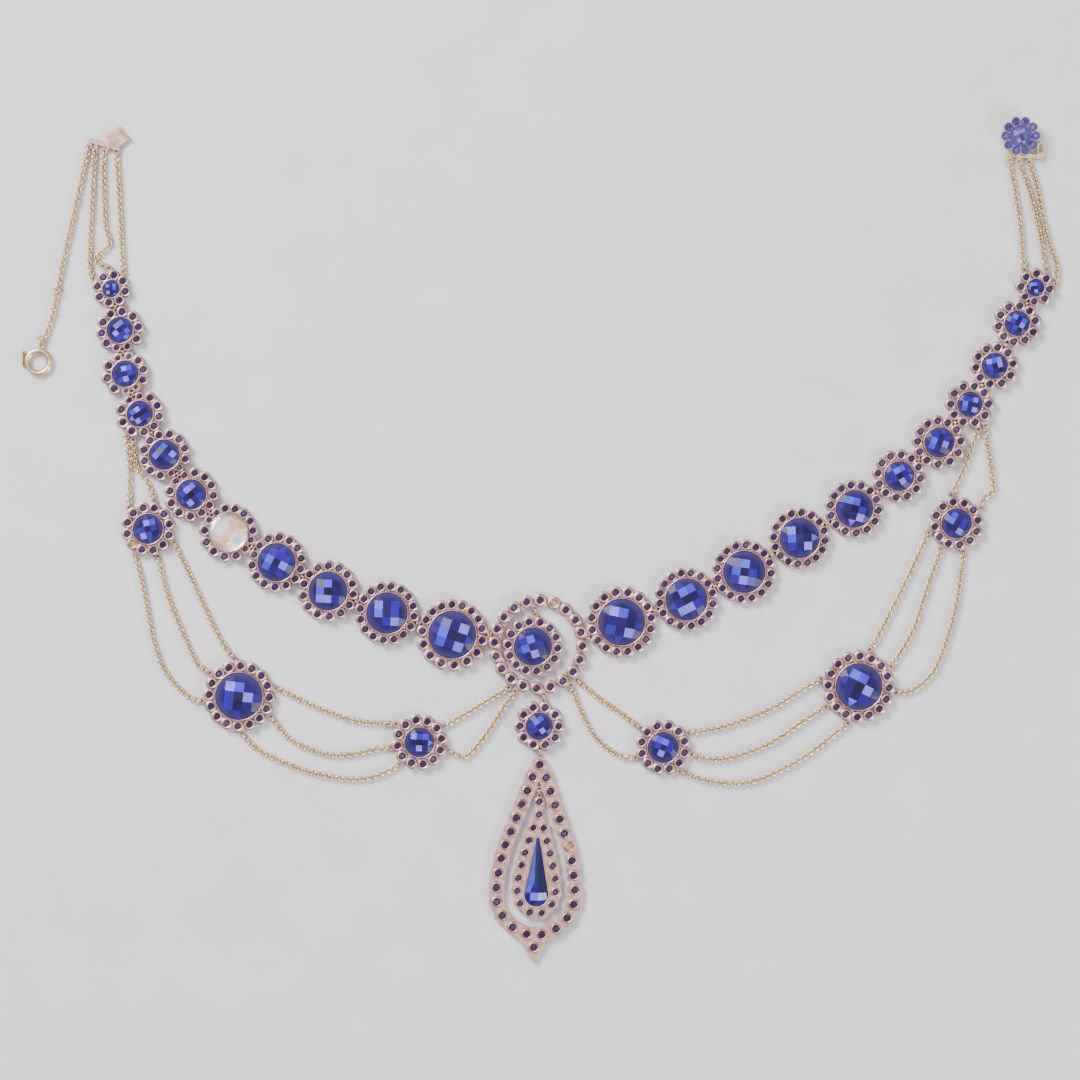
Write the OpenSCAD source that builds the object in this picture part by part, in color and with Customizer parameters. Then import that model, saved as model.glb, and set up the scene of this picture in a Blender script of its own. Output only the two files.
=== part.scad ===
// Festoon necklace: a row of graduated collet-set clusters, two swags of fine chain with
// three clusters each, and a ring, a small cluster and a pear pendant below the middle.
// It lies open and flat on its back. X runs across, Y towards the clasp ends, Z up.

/* [Settings] */
// Thickness of the back plate of a cluster
plate_t = 1.3; // [1.0:0.1:1.5]
// Height of a small collet
collet_h = 2.0; // [1.8:0.1:2.2]
// Depth of the seat in a small collet
seat_d = 0.45; // [0.3:0.05:0.6]
// Radius of the seat of a small stone
seat_r = 0.95; // [0.8:0.05:1.0]
// Wall of the collet round a main stone
main_wall = 0.3; // [0.2:0.05:0.35]
// Depth of the seat of a main stone
main_seat_d = 0.9; // [0.6:0.1:1.2]
// Wanted radius of the small collets that face a neighbour
face_r = 1.25; // [1.05:0.05:1.35]

/* [Stones] */
// Height of a main stone's dome as a share of its radius
dome = 0.32; // [0.2:0.02:0.4]
// Clearance between a stone and its seat
stone_gap = 0.06; // [0.04:0.01:0.1]
// Height of a small stone above its collet
small_rise = 0.25; // [0.1:0.05:0.4]

/* [Links and chains] */
// Diameter of the chains
chain_d = 1.4; // [1.2:0.1:1.5]
// Radius of the wire of the link rings
ring_wire = 0.2; // [0.16:0.01:0.22]
// Distance from a link's middle to the hole in each lug
lug_reach = 0.75; // [0.7:0.05:0.8]
// Outer radius of the eyelets that hold the chains
eyelet_r = 0.8; // [0.75:0.05:0.85]

/* [Pendant] */
// Width of the pendant's frame
frame_w = 3.6; // [3.4:0.1:3.8]
// Thickness of the pendant's frame
frame_t = 1.6; // [1.4:0.1:1.8]
// Lean of the pendant to the left, in degrees
lean = 1.9; // [0:0.1:3]

/* [Bolt ring] */
// Radius of the middle line of the bolt ring
hoop_r = 2.83; // [2.8:0.01:2.9]
// Radius of the bolt ring's tube
hoop_tube = 0.83; // [0.8:0.01:0.86]

/* [Hidden] */
link_gap = 0.06;      // half the clearance between facing collets
face_max = 1.35;       // largest radius of a facing collet
max_inset = 0.35;     // how far a facing collet may sit inside its circle
collet_lap = 1.03;    // neighbouring collets overlap by this ratio
eyelet_out = 0.5;     // from the edge of a cluster to the middle of an eyelet
eyelet_hole = 0.42;
eyelet_t = 0.5;
eyelet_z = 0.45;
lug_r = 0.56;
lug_hole = 0.37;
lug_t = 0.55;
lug_z = 0.7;
tab_w = 2.3;          // width of the tabs between neighbouring clusters of the row
slim_tab_w = 1.4;     // and of the other tabs
tab_gap = 0.17;       // from the end of a tab to the middle of its link
chain_z = chain_d / 2;
tube_sides = 8;
ring_pitch = 2.9;     // between the rings of vertices of a chain
end_gap = 0.15;       // from an eyelet to the end of its chain
gold = [0.90, 0.80, 0.62];
rose = [0.85, 0.70, 0.64];
blue = [0.16, 0.20, 0.62];
violet = [0.28, 0.22, 0.48];
lavender = [0.45, 0.43, 0.75];

// Columns of a cluster: x, y, radius of the main stone, radius of the circle of small
// stones, number of small stones
X = 0;
Y = 1;
STONE = 2;
CIRCLE = 3;
COUNT = 4;
PHASE = 5;

// The row, from the left end to the right end, with the open ring in the middle
ROW = [
    [-107.1, 62.9, 2.15, 3.5, 8],
    [-104.9, 52.6, 3.25, 4.65, 10],
    [-103.6, 41.7, 3.3, 4.6, 10],
    [-99.9, 31.7, 3.25, 4.75, 10],
    [-93.8, 21.5, 3.8, 5.25, 12],
    [-87.1, 11.6, 3.75, 5.45, 12],
    [-77.8, 2.1, 4.7, 6.05, 14],
    [-65.8, -5.3, 4.75, 6.2, 14],
    [-53.0, -12.5, 4.85, 6.3, 14],
    [-38.3, -18.0, 5.15, 6.75, 16],
    [-22.0, -23.4, 5.95, 7.55, 16],
    [-0.5, -25.8, 0, 11.0, 20, 15.6],
    [20.2, -20.2, 5.85, 7.5, 16],
    [36.4, -14.6, 5.25, 6.7, 16],
    [50.8, -7.7, 5.25, 6.75, 16],
    [64.6, 0.7, 5.0, 6.4, 16],
    [78.3, 8.0, 4.65, 6.0, 14],
    [89.5, 16.2, 3.7, 5.35, 12],
    [99.5, 24.6, 3.75, 5.4, 12],
    [107.1, 34.1, 3.15, 4.7, 10],
    [113.3, 43.7, 3.25, 4.65, 10],
    [118.9, 54.3, 3.15, 4.6, 10],
    [123.5, 63.2, 2.2, 3.55, 8],
];
MIDDLE = 11;          // index of the open ring
EMPTY_CUP = 6;        // index of the cluster whose main stone is lost

// The clusters of the swags, left then right, each from the back to the front
SWAG = [
    [-97.9, 3.0, 3.75, 5.4, 12, 13],
    [-75.2, -38.7, 5.9, 7.5, 16, 20],
    [-30.2, -50.2, 3.7, 5.55, 12, 9],
    [103.8, 4.4, 3.75, 5.4, 12, 8.5],
    [79.4, -36.3, 5.8, 7.6, 16, 20],
    [30.6, -51.5, 3.85, 5.5, 12, 16],
];
// Inside the ring, and below it
INNER = [-1.9, -26.3, 4.75, 6.2, 14, 21.7];
DROP = [-0.3, -46.2, 3.4, 4.85, 10, 0];

// The open ring
opening_r = 9.4;
band_r = 11.3;
band_t = 1.2;
big_collet_r = 1.65;
LEFT_VALLEY = 168.6;
RIGHT_VALLEY = 6.6;
DROP_VALLEY = 276.6;
EMPTY_RING_COLLET = 3;
bail = [-1.3, -17.5];
drop_link = [0.95, -39.0];
pendant_link = [-0.25, -52.6];
pear_link = [-0.3, -62.65];

// The pendant's frame: distance below the top stone, half width
PEAR_TOP = [-0.2, -55.8];
FRAME_STONES = [
    [3.2, 1.7],
    [6.6, 2.9],
    [10.0, 4.15],
    [13.5, 5.4],
    [17.0, 6.7],
    [20.3, 7.9],
    [23.7, 8.8],
    [27.4, 9.4],
    [31.0, 9.8],
    [34.6, 9.6],
    [38.0, 8.1],
    [40.8, 5.4],
    [42.4, 1.85],
];
EMPTY_FRAME_STONE = 5;
FINIAL_STONE = 45.6;
FINIAL_TIP = 49.1;
// The inner pear's small stones: distance below its own top stone, half width
INNER_TOP = [-0.3, -65.1];
INNER_STONES = [
    [3.2, 0],
    [6.5, 1.3],
    [9.7, 2.2],
    [12.8, 3.1],
    [15.9, 3.9],
    [19.1, 4.6],
    [22.4, 4.75],
    [25.5, 3.95],
    [27.7, 1.5],
];
inner_collet = 1.1;
inner_w = 2.9;
scallop = 0.18;
inner_seat = 0.8;
tear_big = 3.0;       // round end of the pear-shaped stone
tear_small = 0.4;     // its pointed end
tear_len = 13.9;      // between the two centres
tear_down = 9.2;      // from the inner pear's top stone to the pointed end
tear_h = 2.4;

// The clasp: a flat tongue on the left end, and a rosette on a hollow box on the right end
TONGUE = [-105.6, 100.7];
tongue_turn = 40;
tongue_size = [4.7, 4.4, 1.2];
tongue_slot = 0.35;
tongue_border = 0.6;
TONGUE_BAR = [[-112.2, 100.0], [-105.6, 97.9]];
// Loops of the tongue's bar: x, y, direction of the stem
TONGUE_LOOPS = [[-112.9, 98.5, 60], [-111.3, 97.3, 80], [-109.1, 97.3, 80], [-105.9, 97.2, 100]];
ROSETTE = [119.6, 100.9, 2.4, 3.75, 10, 0];
box_r = 4.3;
box_h = 2.2;
box_slot = [5.2, 1.4];
CLASP_BAR = [[116.6, 96.5], [125.2, 95.9]];
CLASP_LOOPS = [[117.2, 95.0, 90], [119.5, 94.7, 90], [122.1, 94.6, 90]];
CATCH = [124.9, 97.4];
bar_w = 1.1;
bar_t = 1.1;
bar_z = 0.3;
loop_stem = 2.1;

// The bolt ring, with the angles of its parts
HOOP = [-125.4, 44.7];
hoop_bore = 0.62;
bolt_r = 0.5;
mouth_from = 200;
mouth_to = 236;
bolt_from = 139;
bolt_to = 243;
stem_at = 145;
bolt_travel = 48;
stem_r = 0.28;
// The bolt's lever, left of the ring: thickness, length, height, foot below the middle
LEVER = [0.35, 3.75, 1.1, 1.0];
hoop_loop_at = 81;

// Ends of a chain: piece, index, angle. Pieces are the row, the swags, and the loops of the
// tongue, of the clasp and of the bolt ring, where the angle isn't used
ON_ROW = 0;
ON_SWAG = 1;
ON_TONGUE = 2;
ON_CLASP = 3;
ON_HOOP = 4;

// A chain: first end, last end, points between them
SWAGS_LEFT = [
    [
        [[ON_ROW, 3, 237], [ON_SWAG, 0, 132], [[-103, 23], [-102.5, 18], [-102.5, 14]]],
        [[ON_ROW, 3, 254], [ON_SWAG, 0, 78],
            [[-101.5, 22.5], [-101, 19], [-99, 16], [-97.5, 13.5]]],
    ],
    [
        [[ON_SWAG, 0, 244], [ON_SWAG, 1, 187],
            [[-99.5, -10], [-98, -17.5], [-96.5, -25], [-94, -32], [-90, -37], [-87, -39.5]]],
        [[ON_SWAG, 0, 289], [ON_SWAG, 1, 142],
            [[-94, -10], [-92.5, -15], [-89.5, -22.5], [-85.5, -31]]],
        [[ON_SWAG, 0, 332], [ON_SWAG, 1, 98],
            [[-87.5, -8.5], [-84.5, -15], [-81, -22.5], [-78, -27.5]]],
    ],
    [
        [[ON_SWAG, 1, 12], [ON_SWAG, 2, 143], [[-56, -41.5], [-46, -45]]],
        [[ON_SWAG, 1, 327], [ON_SWAG, 2, 191],
            [[-62.5, -49.5], [-55, -53], [-48.5, -53.5], [-41, -52]]],
        [[ON_SWAG, 1, 274], [ON_SWAG, 2, 228],
            [[-70, -52.5], [-60, -57], [-52, -59], [-45.5, -59.5], [-40.5, -58.5]]],
    ],
    [
        [[ON_SWAG, 2, 33], [ON_ROW, MIDDLE, 235], [[-20, -44], [-15, -41], [-11, -38.5]]],
        [[ON_SWAG, 2, 344], [ON_ROW, MIDDLE, 243.5],
            [[-21, -53.5], [-19, -54], [-17, -52.5], [-13, -47.5], [-9.5, -42]]],
    ],
];
SWAGS_RIGHT = [
    [
        [[ON_SWAG, 3, 100], [ON_ROW, 19, 290], [[103.5, 13.5], [106, 18.5]]],
        [[ON_SWAG, 3, 32], [ON_ROW, 19, 308], [[110.5, 10.5], [113, 12.5], [112.5, 19], [111.5, 25]]],
    ],
    [
        [[ON_SWAG, 4, 73], [ON_SWAG, 3, 198], [[85, -22.5], [92.5, -7.5]]],
        [[ON_SWAG, 4, 31], [ON_SWAG, 3, 240], [[93, -22.5], [96.5, -12]]],
        [[ON_SWAG, 4, 350], [ON_SWAG, 3, 285],
            [[92.5, -37.5], [95, -36], [97.5, -33.5], [100, -29], [103, -19.5], [104.5, -12]]],
    ],
    [
        [[ON_SWAG, 5, 29], [ON_SWAG, 4, 168], [[43.5, -47], [50, -45], [57.5, -42], [65, -37.5]]],
        [[ON_SWAG, 5, 346], [ON_SWAG, 4, 212],
            [[41, -54.5], [45, -54.5], [50, -53.5], [57.5, -50.5], [65, -45.5]]],
        [[ON_SWAG, 5, 305], [ON_SWAG, 4, 255],
            [[38.5, -59], [45, -60.5], [53.5, -60], [62.5, -56], [68, -52.5], [72.5, -49]]],
    ],
    [
        [[ON_ROW, MIDDLE, 317], [ON_SWAG, 5, 140], [[15, -39.5], [20, -43]]],
        [[ON_ROW, MIDDLE, 308.5], [ON_SWAG, 5, 200],
            [[10, -42], [13, -48], [17, -52], [20.5, -54]]],
    ],
];
BACK_LEFT = [
    [[ON_TONGUE, 1, 0], [ON_ROW, 0, 150], [[-112, 83.5], [-112.5, 72.5], [-112.5, 68.5]]],
    [[ON_TONGUE, 2, 0], [ON_ROW, 0, 97],
        [[-109, 86.5], [-108.5, 78], [-107.5, 74.5], [-110.9, 70.7], [-110, 69.2]]],
    [[ON_TONGUE, 3, 0], [ON_ROW, 0, 56], [[-105, 83.5], [-104.5, 73]]],
];
BACK_RIGHT = [
    [[ON_CLASP, 0, 0], [ON_ROW, 22, 120], [[119, 85], [120, 77.5]]],
    [[ON_CLASP, 1, 0], [ON_ROW, 22, 58], [[122, 88], [123.5, 82.5], [125, 75.5]]],
    [[ON_CLASP, 2, 0], [ON_ROW, 22, 11], [[123.5, 90.5], [125, 83.5], [126.5, 76.5], [129, 68.5]]],
];
SAFETY = [
    [[ON_TONGUE, 0, 0], [ON_HOOP, 0, 0],
        [[-114.5, 91], [-116.5, 81.5], [-118.5, 73], [-120, 65.5], [-122, 55.5]]],
];
CHAINS = concat(
    [for (group = SWAGS_LEFT) each group],
    [for (group = SWAGS_RIGHT) each group],
    BACK_LEFT, BACK_RIGHT, SAFETY
);

function at(piece) = [piece[X], piece[Y]];
function dir(angle) = [cos(angle), sin(angle)];
function angle_to(a, b) = atan2(b[1] - a[1], b[0] - a[0]);
function two(i) = i < 10 ? str("0", i) : str(i);

// How far from its middle a cluster's pair of facing collets lies
function reach(piece) = piece[CIRCLE] * cos(180 / piece[COUNT]);
function collet_r(piece) = piece[CIRCLE] * sin(180 / piece[COUNT]) * collet_lap;

// The middle of the link between row pieces i and i + 1
function link_point(i) =
    i == MIDDLE - 1 ? at(ROW[MIDDLE]) + dir(LEFT_VALLEY) * (reach(ROW[MIDDLE]) + 1.65)
    : i == MIDDLE ? at(ROW[MIDDLE]) + dir(RIGHT_VALLEY) * (reach(ROW[MIDDLE]) + 1.55)
    : let (
        a = ROW[i],
        b = ROW[i + 1],
        space = norm(at(b) - at(a)),
        share = (reach(a) + (space - reach(a) - reach(b)) / 2) / space
    ) at(a) + (at(b) - at(a)) * share;
function row_links(i) = [
    if (i > 0) link_point(i - 1),
    if (i < len(ROW) - 1) link_point(i),
];

// A small collet: angle, distance from the middle, radius, radius of its seat
ANGLE = 0;
FAR = 1;
WIDE = 2;
SEAT = 3;
function facing(piece, link, angle) =
    let (
        room = norm(link - at(piece)) - reach(piece),
        inset = max(0, min(max_inset, face_r + link_gap - room)),
        r = min(collet_r(piece), face_max, room + inset - link_gap),
        far = piece[CIRCLE] - inset
    ) [angle, far, r, min(seat_r, r - 0.25, far - piece[STONE] - main_wall - 0.02)];
function plain(piece, angle, r) = [angle, piece[CIRCLE], r, seat_r];

// Collets of one side of a linked cluster, from one link round to the other
function side(piece, from_link, to_link, from, to, count) =
    [for (i = [0 : count - 1])
        let (angle = from + (to - from) * i / (count - 1))
        i == 0 ? facing(piece, from_link, angle)
        : i == count - 1 ? facing(piece, to_link, angle)
        : plain(piece, angle, collet_r(piece))];
function row_collets(i) =
    let (
        piece = ROW[i],
        links = row_links(i),
        first = links[0],
        last = links[len(links) - 1],
        half = 180 / piece[COUNT],
        a = angle_to(at(piece), first),
        b_raw = len(links) == 2 ? angle_to(at(piece), last) : a + 180,
        b = b_raw < a ? b_raw + 360 : b_raw,
        each_side = piece[COUNT] / 2,
        far_end = len(links) == 2 ? last : at(piece) + dir(b) * (piece[CIRCLE] + 3)
    )
    concat(
        side(piece, first, far_end, a + half, b - half, each_side),
        side(piece, far_end, first, b + half, a + 360 - half, each_side)
    );

// Collets of a cluster with evenly spaced stones, the ones at a link small
function even_collets(piece, links, r) =
    [for (i = [0 : piece[COUNT] - 1])
        let (
            angle = piece[PHASE] + i * 360 / piece[COUNT],
            near = [for (link = links)
                if (abs(angle_gap(angle_to(at(piece), link), angle)) < 270 / piece[COUNT]) link]
        )
        len(near) > 0 ? facing(piece, near[0], angle) : plain(piece, angle, r)];
function angle_gap(a, b) = ((a - b + 540) % 360 + 360) % 360 - 180;
function ring_collets() =
    even_collets(ROW[MIDDLE], concat(row_links(MIDDLE), [drop_link]), big_collet_r);
function inner_collets() = even_collets(INNER, [bail], collet_r(INNER));
function drop_collets() = even_collets(DROP, [drop_link, pendant_link], collet_r(DROP));
function collet_at(piece, c) = at(piece) + dir(c[ANGLE]) * c[FAR];

// Where the eyelet at an end of a chain lies
function eyelet_at(end) =
    end[0] == ON_TONGUE ? [TONGUE_LOOPS[end[1]][0], TONGUE_LOOPS[end[1]][1]]
    : end[0] == ON_CLASP ? [CLASP_LOOPS[end[1]][0], CLASP_LOOPS[end[1]][1]]
    : end[0] == ON_HOOP ? HOOP + dir(hoop_loop_at) * (hoop_r + hoop_tube + 0.45)
    : let (
        piece = end[0] == ON_ROW ? ROW[end[1]] : SWAG[end[1]],
        edge = end[0] == ON_ROW && end[1] == MIDDLE ? big_collet_r : collet_r(piece)
    ) at(piece) + dir(end[2]) * (piece[CIRCLE] + edge + eyelet_out);
function eyelets_of(kind, index) =
    [for (chain = CHAINS) for (end = [chain[0], chain[1]])
        if (end[0] == kind && end[1] == index) eyelet_at(end)];

module post(p, r, h, z = 0) {
    translate([p[0], p[1], z]) cylinder(r = r, h = h, $fn = 0);
}

// A straight bar between two points
module bar(a, b, w, h, z = 0) {
    translate([a[0], a[1], z]) rotate([0, 0, angle_to(a, b)])
        translate([0, -w / 2, 0]) cube([norm(b - a), w, h]);
}

function lug_at(centre, link) = link + dir(angle_to(link, centre)) * lug_reach;

// An eye with a hole up through it, on a stem from the middle of its piece
module eye(p, from, r, t, z) {
    post(p, r, t, z);
    bar(from, p, r * 1.4, t, z);
}

// A wide tab that ends just short of the middle of a link
module tab(from, link, w) {
    end = link + dir(angle_to(link, from)) * tab_gap;
    bar(from, end, w, lug_t, lug_z);
}

module through(p, r) {
    post(p, r, 6, -1);
}

// A cluster's metal: plate, small collets with seats, main collet with its seat, lugs for
// the link rings and eyelets for the chains
module setting(piece, collets, links, eyelets, w = slim_tab_w) {
    centre = at(piece);
    main_h = main_height(piece);
    plate_r = reach(piece);
    difference() {
        union() {
            difference() {
                union() {
                    post(centre, plate_r, plate_t);
                    for (c = collets) post(collet_at(piece, c), c[WIDE], collet_h);
                }
                for (c = collets) post(collet_at(piece, c), c[SEAT], seat_d + 1, collet_h - seat_d);
            }
            post(centre, piece[STONE] + main_wall, main_h);
            for (link = links) tab(centre + dir(angle_to(centre, link)) * (plate_r - 1), link, w);
            for (p = eyelets) {
                inner = centre + dir(angle_to(centre, p)) * (plate_r - 1);
                eye(p, inner, eyelet_r, eyelet_t, eyelet_z);
            }
        }
        post(centre, piece[STONE], main_seat_d + 1, main_h - main_seat_d);
        for (link = links) through(lug_at(centre, link), lug_hole);
        for (p = eyelets) through(p, eyelet_hole);
    }
}
function main_height(piece) = 2.05 + 0.15 * piece[STONE];

module row_setting(i) {
    color(rose) setting(ROW[i], row_collets(i), row_links(i), eyelets_of(ON_ROW, i), tab_w);
}

module swag_setting(i) {
    color(rose) setting(SWAG[i], even_collets(SWAG[i], [], collet_r(SWAG[i])), [], eyelets_of(ON_SWAG, i));
}

module inner_setting() {
    color(rose) setting(INNER, inner_collets(), [bail], []);
}

module drop_setting() {
    links = [drop_link, pendant_link];
    color(rose) setting(DROP, drop_collets(), links, []);
}

// The open ring, with the inner cluster's bail and the eyelets of four chains
module open_ring() {
    piece = ROW[MIDDLE];
    centre = at(piece);
    collets = ring_collets();
    outer_links = concat(row_links(MIDDLE), [drop_link]);
    bail_eye = bail + dir(90) * lug_reach;
    eyelets = eyelets_of(ON_ROW, MIDDLE);
    color(rose) difference() {
        union() {
            difference() {
                union() {
                    post(centre, band_r, band_t);
                    for (c = collets) post(collet_at(piece, c), c[WIDE], collet_h);
                }
                post(centre, opening_r, 6, -1);
                for (c = collets) post(collet_at(piece, c), c[SEAT], seat_d + 1, collet_h - seat_d);
            }
            for (link = outer_links)
                tab(centre + dir(angle_to(centre, link)) * (opening_r + 0.5), link, slim_tab_w);
            eye(bail_eye, bail_eye + [0, 1.4], lug_r, lug_t, lug_z);
            for (p = eyelets) {
                inner = centre + dir(angle_to(centre, p)) * (opening_r + 0.5);
                eye(p, inner, eyelet_r, eyelet_t, eyelet_z);
            }
        }
        for (link = outer_links) through(lug_at(centre, link), lug_hole);
        through(bail_eye, lug_hole);
        for (p = eyelets) through(p, eyelet_hole);
    }
}

// A ring of wire that stands in the lugs on both sides of a link
module link_ring(link, a, b) {
    p = lug_at(a, link);
    q = lug_at(b, link);
    middle = (p + q) / 2;
    translate([middle[0], middle[1], lug_z + lug_t / 2])
        rotate([0, 0, angle_to(p, q)])
            rotate([90, 0, 0])
                rotate_extrude()
                    translate([norm(q - p) / 2, 0]) circle(r = ring_wire);
}

module link_rings() {
    color(gold) {
        for (i = [0 : len(ROW) - 2]) link_ring(link_point(i), at(ROW[i]), at(ROW[i + 1]));
        link_ring(bail, at(INNER), bail + [0, 3]);
        link_ring(drop_link, at(ROW[MIDDLE]), at(DROP));
        link_ring(pendant_link, at(DROP), PEAR_TOP);
        link_ring(pear_link, pear_link + [0, 3], INNER_TOP);
    }
}

// A cut stone: a flat base, an upright girdle, a row of facets and a table
module cut_stone(p, r, z, girdle, crown, sides, table = 0.5) {
    ring = function(radius, height)
        [for (i = [0 : sides - 1])
            [radius * cos((i + 0.5) * 360 / sides), radius * sin((i + 0.5) * 360 / sides), height]];
    levels = [ring(r, 0), ring(r, girdle), ring(r * (1 + table) / 2 * 1.06, girdle + crown * 0.62),
        ring(r * table, girdle + crown)];
    translate([p[0], p[1], z]) stack(levels);
}

// A solid through closed outlines of the same number of points, one above the other
module stack(levels) {
    n = len(levels[0]);
    top = (len(levels) - 1) * n;
    polyhedron(
        points = [for (level = levels) each level],
        faces = concat(
            [[for (i = [0 : n - 1]) i]],
            [for (k = [0 : len(levels) - 2]) for (i = [0 : n - 1])
                each [
                    [k * n + i, (k + 1) * n + i, (k + 1) * n + (i + 1) % n],
                    [k * n + i, (k + 1) * n + (i + 1) % n, k * n + (i + 1) % n],
                ]],
            [[for (i = [n - 1 : -1 : 0]) top + i]]
        ),
        convexity = 4
    );
}

module main_stone(piece) {
    floor_z = main_height(piece) - main_seat_d + stone_gap;
    color(blue) cut_stone(at(piece), piece[STONE] - stone_gap, floor_z, main_seat_d - 0.2,
        piece[STONE] * dome, 16);
}

// A small stone: a flat base, eight facets and a table
module small_stone(p, seat, top, shade = violet) {
    r = seat - stone_gap;
    levels = [for (level = [[r, 0], [r * 0.55, seat_d + small_rise - stone_gap]])
        [for (i = [0 : 7]) [level[0] * cos(i * 45), level[0] * sin(i * 45), level[1]]]];
    color(shade) translate([p[0], p[1], top - seat_d + stone_gap]) stack(levels);
}

module row_stones(from, to) {
    for (i = [from : to]) if (i != EMPTY_CUP) main_stone(ROW[i]);
}

module swag_stones(from) {
    for (i = [from : from + 2]) main_stone(SWAG[i]);
}

module ring_small_stones() {
    collets = ring_collets();
    for (i = [0 : len(collets) - 1])
        if (i != EMPTY_RING_COLLET)
            small_stone(collet_at(ROW[MIDDLE], collets[i]), collets[i][SEAT], collet_h);
}

module cluster_small_stones() {
    for (c = inner_collets()) small_stone(collet_at(INNER, c), c[SEAT], collet_h);
    for (c = drop_collets()) small_stone(collet_at(DROP, c), c[SEAT], collet_h);
}

// Points of the pendant, measured along its leaning axis
function along(top, down, aside) =
    top + dir(270 - lean) * down + dir(-lean) * aside;
FRAME_LEFT = concat([along(PEAR_TOP, 0, 0)], [for (s = FRAME_STONES) along(PEAR_TOP, s[0], -s[1])]);
FRAME_RIGHT = concat([along(PEAR_TOP, 0, 0)], [for (s = FRAME_STONES) along(PEAR_TOP, s[0], s[1])]);
FINIAL = along(PEAR_TOP, FINIAL_STONE, 0);
INNER_LEFT = concat([INNER_TOP], [for (s = INNER_STONES) along(INNER_TOP, s[0], -s[1])]);
INNER_RIGHT = concat([INNER_TOP], [for (s = INNER_STONES) along(INNER_TOP, s[0], s[1])]);

// A flat band through a list of points, with a wider disc at each of them
module band(points, w, disc_r, t) {
    for (p = points) post(p, disc_r, t);
    for (i = [0 : len(points) - 2]) bar(points[i], points[i + 1], w, t);
}

module pendant_frame() {
    rim = frame_t + 0.25;
    last = len(FRAME_LEFT) - 1;
    stones = concat(FRAME_LEFT, [for (i = [1 : last]) FRAME_RIGHT[i]], [FINIAL]);
    top_eye = lug_at(PEAR_TOP, pendant_link);
    inner_eye = pear_link + [0, lug_reach];
    color(rose) difference() {
        union() {
            band(FRAME_LEFT, frame_w, frame_w / 2 + scallop, frame_t);
            band([for (i = [1 : last]) FRAME_RIGHT[i]], frame_w, frame_w / 2 + scallop, frame_t);
            bar(FRAME_RIGHT[0], FRAME_RIGHT[1], frame_w, frame_t);
            bar(FRAME_LEFT[last], FRAME_RIGHT[last], frame_w, frame_t);
            post(FINIAL, 1.8, frame_t);
            for (p = stones) post(p, 1.35, rim);
            linear_extrude(frame_t) polygon([
                along(PEAR_TOP, 43.2, -4.6),
                along(PEAR_TOP, 45.2, -2.5),
                along(PEAR_TOP, 47.0, -1.6),
                along(PEAR_TOP, FINIAL_TIP, -0.3),
                along(PEAR_TOP, FINIAL_TIP, 0.3),
                along(PEAR_TOP, 47.0, 1.6),
                along(PEAR_TOP, 45.2, 2.5),
                along(PEAR_TOP, 43.2, 4.6),
            ]);
            eye(top_eye, PEAR_TOP, lug_r, lug_t, lug_z);
            bar(inner_eye - [1.7, 0], inner_eye + [1.7, 0], 1.3, lug_t, lug_z);
        }
        for (p = stones) post(p, seat_r, 3, rim - seat_d);
        through(top_eye, lug_hole);
        through(inner_eye, lug_hole + 0.06);
    }
}

// Outline of a drop shape between a large and a small circle
function tear(extra) =
    let (
        big = tear_big + extra,
        small = tear_small + extra,
        slope = acos((big - small) / tear_len),
        top = along(INNER_TOP, tear_down, 0),
        low = along(INNER_TOP, tear_down + tear_len, 0),
        up = 90 - lean
    )
    concat(
        [for (i = [0 : 12]) low + dir(up + slope + (360 - 2 * slope) * i / 12) * big],
        [for (i = [0 : 4]) top + dir(up - slope + 2 * slope * i / 4) * small]
    );

// A point of the inner plate's edge, beside small stone i
function inner_edge(i, way) =
    let (
        stone = concat([[0, 0]], INNER_STONES)[i],
        lowest = i == len(INNER_STONES),
        down = stone[0] + (lowest ? 1.35 : 0),
        aside = stone[1] + (lowest ? 0.2 : i < 2 ? 1.0 : inner_w / 2 - 0.1)
    )
    along(INNER_TOP, down, way * aside);

module pear_setting() {
    rim = frame_t + 0.15;
    last = len(INNER_LEFT) - 1;
    stones = concat(INNER_LEFT, [for (i = [2 : last]) INNER_RIGHT[i]]);
    top_eye = lug_at(INNER_TOP, pear_link);
    color(rose) difference() {
        union() {
            difference() {
                union() {
                    linear_extrude(frame_t) polygon(concat(
                        [for (i = [0 : last]) inner_edge(i, -1)],
                        [for (i = [last : -1 : 0]) inner_edge(i, 1)]
                    ));
                    for (i = [0 : len(stones) - 1])
                        post(stones[i], i < 2 ? 1.4 : inner_w / 2 + scallop, frame_t);
                    for (p = stones) post(p, inner_collet, rim);
                }
                for (p = stones) post(p, inner_seat, 3, rim - seat_d);
            }
            linear_extrude(tear_h) polygon(tear(0.25));
            eye(top_eye, INNER_TOP, lug_r, lug_t, lug_z);
        }
        translate([0, 0, tear_h - main_seat_d]) linear_extrude(3) polygon(tear(0));
        through(top_eye, lug_hole);
    }
}

module pear_stone() {
    levels = [for (level = [[-stone_gap, 0], [-stone_gap, 0.7], [-0.9, 1.5], [-1.6, 1.8]])
        [for (p = shrunk_tear(level[0])) [p[0], p[1], tear_h - main_seat_d + stone_gap + level[1]]]];
    color(blue) stack(levels);
}
// The drop outline drawn in towards its middle line, with its point kept above zero
function shrunk_tear(extra) =
    let (
        big = tear_big + extra,
        small = max(0.12, tear_small + extra * 0.2),
        top = along(INNER_TOP, tear_down - extra * 1.2, 0),
        low = along(INNER_TOP, tear_down + tear_len, 0),
        slope = acos((big - small) / norm(low - top)),
        up = 90 - lean
    )
    concat(
        [for (i = [0 : 12]) low + dir(up + slope + (360 - 2 * slope) * i / 12) * big],
        [for (i = [0 : 4]) top + dir(up - slope + 2 * slope * i / 4) * small]
    );

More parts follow.
